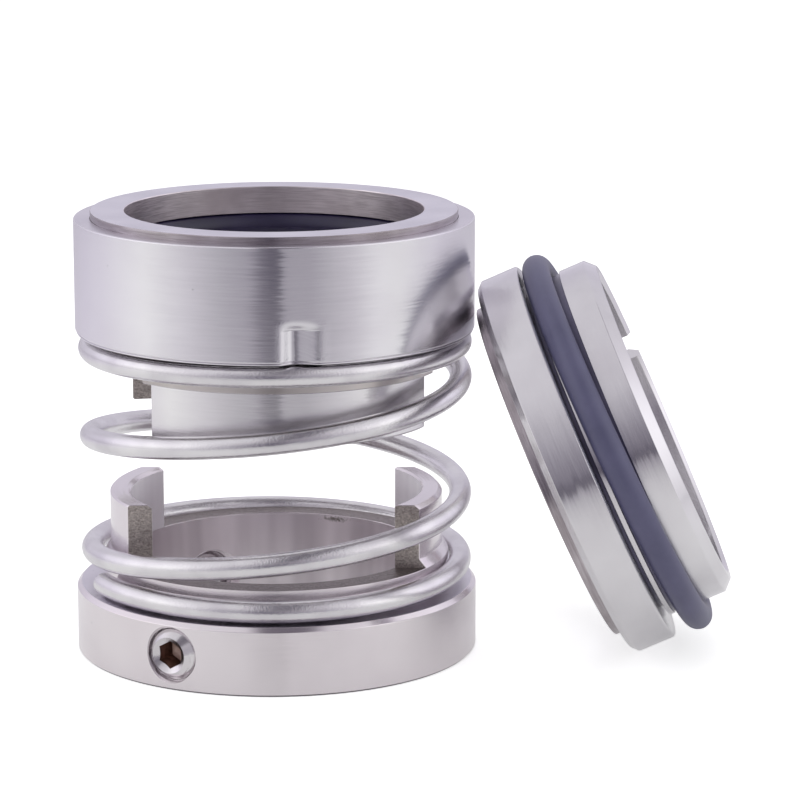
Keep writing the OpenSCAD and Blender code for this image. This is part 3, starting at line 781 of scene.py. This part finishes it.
def make_seat_o_ring():
    ring = turned("seat_o_ring_rubber", ring_section(SEAT_O_R + O_SECTION / 2, 0, O_SECTION, 0.03))
    smooth(ring, 60)
    dress(ring, [slate_rubber])
    ring.matrix_world = (LEAN @ Matrix.Translation((0, 0, SEAT_O_Z * MM))
                         @ Matrix.Rotation(math.radians(SEAT_O_TILT), 4, "Y"))
    fit(ring, "collar", "seat_o_ring")


make_collar()
for screw_name, screw_turn in SCREW_TURNS.items():
    make_screw(screw_name, screw_turn)
make_spring()
make_push_ring()
make_carrier()
make_face_ring()
make_shaft_o_ring()
make_seat_body()
make_seat_face_ring()
make_seat_o_ring()


# Studio: pale floor, and a tent that is bright at both sides, dim towards the camera and has a
# dark gap in its front. Its stops are degrees from the front to the right.

TENT = [(-110, "F2EEF8"), (-74, "FFFFFF"), (-47, "DFDCE2"), (-22, "BAB7BF"), (-12, "AEAAB4"), (-4, "6C6675"),
        (4.7, "504A5C"), (6.8, "B2AEB7"), (22, "B2AEB7"), (45, "DDDAE0"), (60, "FAF9FB"), (74, "FFFFFF"),
        (110, "F2EEF8"), (180, "CCC8D2"), (-132, "E9E4F1"), (-122, "EFEBF6")]
WHITE, SHEET_WHITE = (1, 1, 1, 1), (0.9, 0.9, 0.9, 1)
FLOOR_HALF, FLOOR_DROP = 3.0, 0.00005
CAMERA_AT, CAMERA_DIP = (0.024107, -0.65924, 0.186653), 11.85
LENS, SENSOR, NEAREST, FURTHEST = 156.25, 36, 0.05, 20
AIM = (0.01, 0, 0.045)


def tent(tree, way):
    """Colour of the tent in the direction of way."""
    turn = put(tree, "TexGradient", {"gradient_type": "RADIAL", 0: way}).outputs["Fac"]
    band = put(tree, "ValToRGB", {0: turn})
    stops = sorted(((0.25 + degrees / 360) % 1, code) for degrees, code in TENT)
    low, high = stops[0], stops[-1]
    part = (1 - high[0]) / (1 - high[0] + low[0])
    seam = [a + (b - a) * part for a, b in zip(colour(high[1]), colour(low[1]))]
    row = band.color_ramp.elements
    row[0].position, row[0].color = 0, seam
    row[1].position, row[1].color = 1, seam
    for position, code in stops:
        row.new(position).color = colour(code)
    return band.outputs[0]


def seen_directly(tree, rays):
    """1 for rays from the camera, also through something clear, otherwise 0."""
    sets = {"operation": "ADD", "use_clamp": True, 0: rays["Is Camera Ray"], 1: rays["Is Transmission Ray"]}
    return put(tree, "Math", sets).outputs[0]


def make_floor():
    """Pale sweep that keeps the shadow and shows as white. In reflections it takes on the tent's
    light and dark further out, and less of it close to the seal."""
    half = FLOOR_HALF
    mesh = bpy.data.meshes.new("floor")
    mesh.from_pydata([(-half, -half, 0), (half, -half, 0), (half, half, 0), (-half, half, 0)], [],
                     [(0, 1, 2, 3)])
    floor = bpy.data.objects.new("floor", mesh)
    floor.location.z = -FLOOR_DROP
    bpy.context.scene.collection.objects.link(floor)
    material, tree, shader, place = blank("white sweep")
    tree.nodes.remove(shader)
    rays = put(tree, "LightPath").outputs
    paint = put(tree, "BsdfDiffuse", {"Color": colour("EDEDEE")}).outputs[0]
    lift = number(tree, "MULTIPLY", seen_directly(tree, rays), 0.6)
    glow = put(tree, "Emission", {"Color": WHITE, "Strength": lift}).outputs[0]
    plain = put(tree, "AddShader", {0: paint, 1: glow}).outputs[0]
    near = ramp(tree, vector(tree, "LENGTH", place), 0.06, 0.4, 0.85, 0, "SMOOTHSTEP")
    shown = mixed(tree, near, tent(tree, place), SHEET_WHITE)
    half_lit = put(tree, "BsdfDiffuse", {"Color": vector(tree, "SCALE", shown, 0.75)}).outputs[0]
    half_glow = put(tree, "Emission", {"Strength": 0.34, "Color": shown}).outputs[0]
    mirrored = put(tree, "AddShader", {0: half_lit, 1: half_glow}).outputs[0]
    both = put(tree, "MixShader", {0: rays["Is Glossy Ray"], 1: plain, 2: mirrored}).outputs[0]
    tree.links.new(both, tree.nodes["Material Output"].inputs["Surface"])
    mesh.materials.append(material)


def make_world():
    """White for the camera. In reflections it is the tent, with a pale ceiling, a lavender back and
    soft boxes high up at both sides, and the tent's dark gap runs on overhead."""
    world = bpy.data.worlds.new("studio")
    bpy.context.scene.world = world
    world.use_nodes = True
    tree = world.node_tree
    rays = put(tree, "LightPath").outputs
    way = put(tree, "TexCoord").outputs["Generated"]
    right, behind, above = put(tree, "SeparateXYZ", {0: way}).outputs
    wall = mixed(tree, ramp(tree, behind, 0.1, 0.6, 0, 1, "SMOOTHSTEP"), tent(tree, way), "DCD8E4")
    wall = mixed(tree, ramp(tree, above, 0.2, 0.85, 0, 1, "SMOOTHSTEP"), wall, "ECEAEF")
    beside = number(tree, "ABSOLUTE", number(tree, "ADD", right, -0.08))
    gap = number(tree, "MULTIPLY", ramp(tree, beside, 0.14, 0.26, 1, 0, "SMOOTHSTEP"),
                 ramp(tree, above, 0.4, 0.55, 0, 1, "SMOOTHSTEP"))
    gap = number(tree, "MULTIPLY", gap, ramp(tree, behind, 0.2, 0.5, 1, 0, "SMOOTHSTEP"))
    wall = mixed(tree, gap, wall, "77727C")
    aside = ramp(tree, number(tree, "ABSOLUTE", right), 0.45, 0.85, 0, 0.4, "SMOOTHSTEP")
    gain = number(tree, "MULTIPLY_ADD", aside, ramp(tree, above, -0.05, 0.3, 0, 1, "SMOOTHSTEP"), 1.0)
    shown = put(tree, "Background", {"Color": wall, "Strength": gain}).outputs[0]
    white = put(tree, "Background", {"Color": WHITE, "Strength": 1.0}).outputs[0]
    light = feed(tree, tree.nodes["Background"], {"Color": WHITE, "Strength": 0.55}).outputs[0]
    mirror = put(tree, "MixShader", {0: rays["Is Glossy Ray"], 1: light, 2: shown}).outputs[0]
    both = put(tree, "MixShader", {0: seen_directly(tree, rays), 1: mirror, 2: white}).outputs[0]
    tree.links.new(both, tree.nodes["World Output"].inputs["Surface"])


def make_lamp(name, where, size, power):
    """Square lamp aimed at the seal. Metal doesn't mirror it."""
    lamp = bpy.data.lights.new(name, "AREA")
    lamp.shape, lamp.size, lamp.size_y, lamp.energy = "RECTANGLE", size, size, power
    stand = bpy.data.objects.new(name, lamp)
    stand.location = where
    stand.rotation_euler = (Vector(AIM) - Vector(where)).to_track_quat("-Z", "Y").to_euler()
    stand.visible_glossy = False
    bpy.context.scene.collection.objects.link(stand)


def make_camera():
    """Camera at the photograph's place, with a long lens."""
    camera = bpy.data.cameras.new("camera")
    camera.lens, camera.sensor_width, camera.clip_start, camera.clip_end = LENS, SENSOR, NEAREST, FURTHEST
    stand = bpy.data.objects.new("camera", camera)
    stand.location = CAMERA_AT
    stand.rotation_euler = (math.radians(90 - CAMERA_DIP), 0, 0)
    bpy.context.scene.collection.objects.link(stand)
    bpy.context.scene.camera = stand


make_floor()
make_world()
make_lamp("lamp_left", (-0.55, -0.25, 0.45), 0.5, 1.2)
make_lamp("lamp_right", (0.6, -0.3, 0.5), 0.5, 0.9)
make_lamp("lamp_top", (0, 0.1, 0.9), 0.8, 1.6)
make_camera()
bpy.context.scene.view_settings.view_transform = "Standard"
bpy.context.scene.cycles.glossy_bounces = 10
